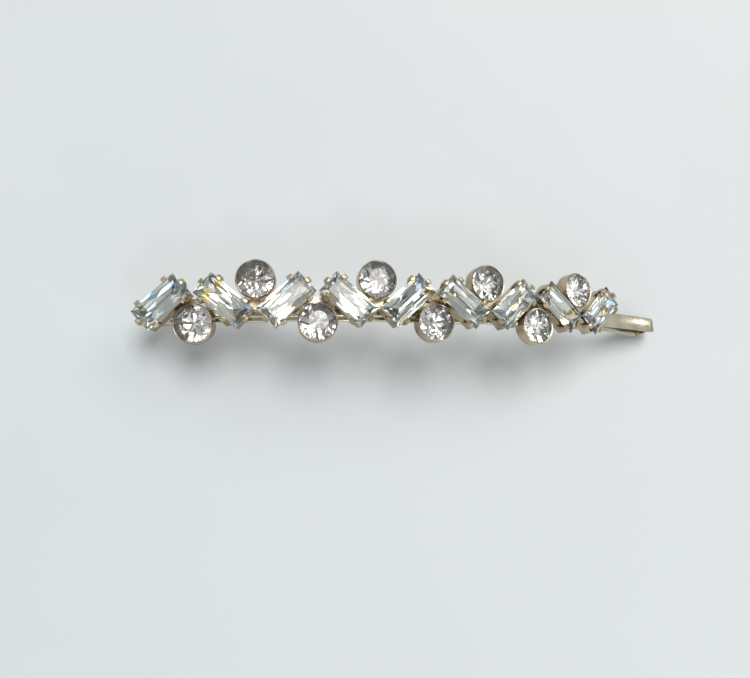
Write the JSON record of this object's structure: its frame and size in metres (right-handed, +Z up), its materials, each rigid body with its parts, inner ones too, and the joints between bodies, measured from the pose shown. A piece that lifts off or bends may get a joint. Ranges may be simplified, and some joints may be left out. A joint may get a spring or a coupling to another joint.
{
  "type": "rhinestone hair clip",
  "caption": "Arched spring hairpin grip with a zigzag row of rectangular crystals in claw cups and round crystals nestled in plain cups along its upper leg.",
  "frame": {"origin": "middle of the clip's length and width, on the plane it stands on", "axes": "+X along the pin to its closed bend, +Z up from the legs to the stones, +Y to the back of the row"},
  "size_m": [0.0716, 0.0092, 0.0133],
  "materials": {
    "pin_wire": "flat spring wire plated pale champagne gold, bright with fine drawing lines",
    "backing_metal": "thin stamped strip plated pale champagne gold, satin",
    "solder": "dull soft solder, flooded by hand",
    "cup_metal": "stamped cups plated pale champagne gold, polished",
    "crystal": "clear cut glass with a silver foil back"
  },
  "bodies": {
    "clip": {"upper_leg": "pin_wire", "bend": "pin_wire", "backing_bar": "backing_metal", "solder_joints": "solder", "claw_cup_1": "cup_metal", "claw_cup_2": "cup_metal", "claw_cup_3": "cup_metal", "claw_cup_4": "cup_metal", "claw_cup_5": "cup_metal", "claw_cup_6": "cup_metal", "claw_cup_7": "cup_metal", "claw_cup_8": "cup_metal", "claw_cup_9": "cup_metal", "baguette_1": "crystal", "baguette_2": "crystal", "baguette_3": "crystal", "baguette_4": "crystal", "baguette_5": "crystal", "baguette_6": "crystal", "baguette_7": "crystal", "baguette_8": "crystal", "baguette_9": "crystal", "round_cup_1": "cup_metal", "round_cup_2": "cup_metal", "round_cup_3": "cup_metal", "round_cup_4": "cup_metal", "round_cup_5": "cup_metal", "round_cup_6": "cup_metal", "round_cup_7": "cup_metal", "round_cup_8": "cup_metal", "round_stone_1": "crystal", "round_stone_2": "crystal", "round_stone_3": "crystal", "round_stone_4": "crystal", "round_stone_5": "crystal", "round_stone_6": "crystal", "round_stone_7": "crystal", "round_stone_8": "crystal"},
    "lower_leg": {"lower_leg": "pin_wire"}
  },
  "joints": [
    {"name": "leg_spring", "type": "hinge", "parent": "clip", "child": "lower_leg", "pos_m": [0.03427, -0.00072, 0.00159], "axis": [0, -1, 0], "range_deg": [0, 10], "stiffness_Nm_per_rad": 0.08, "springref_deg": -1.15, "deforming": ["bend"]}
  ]
}
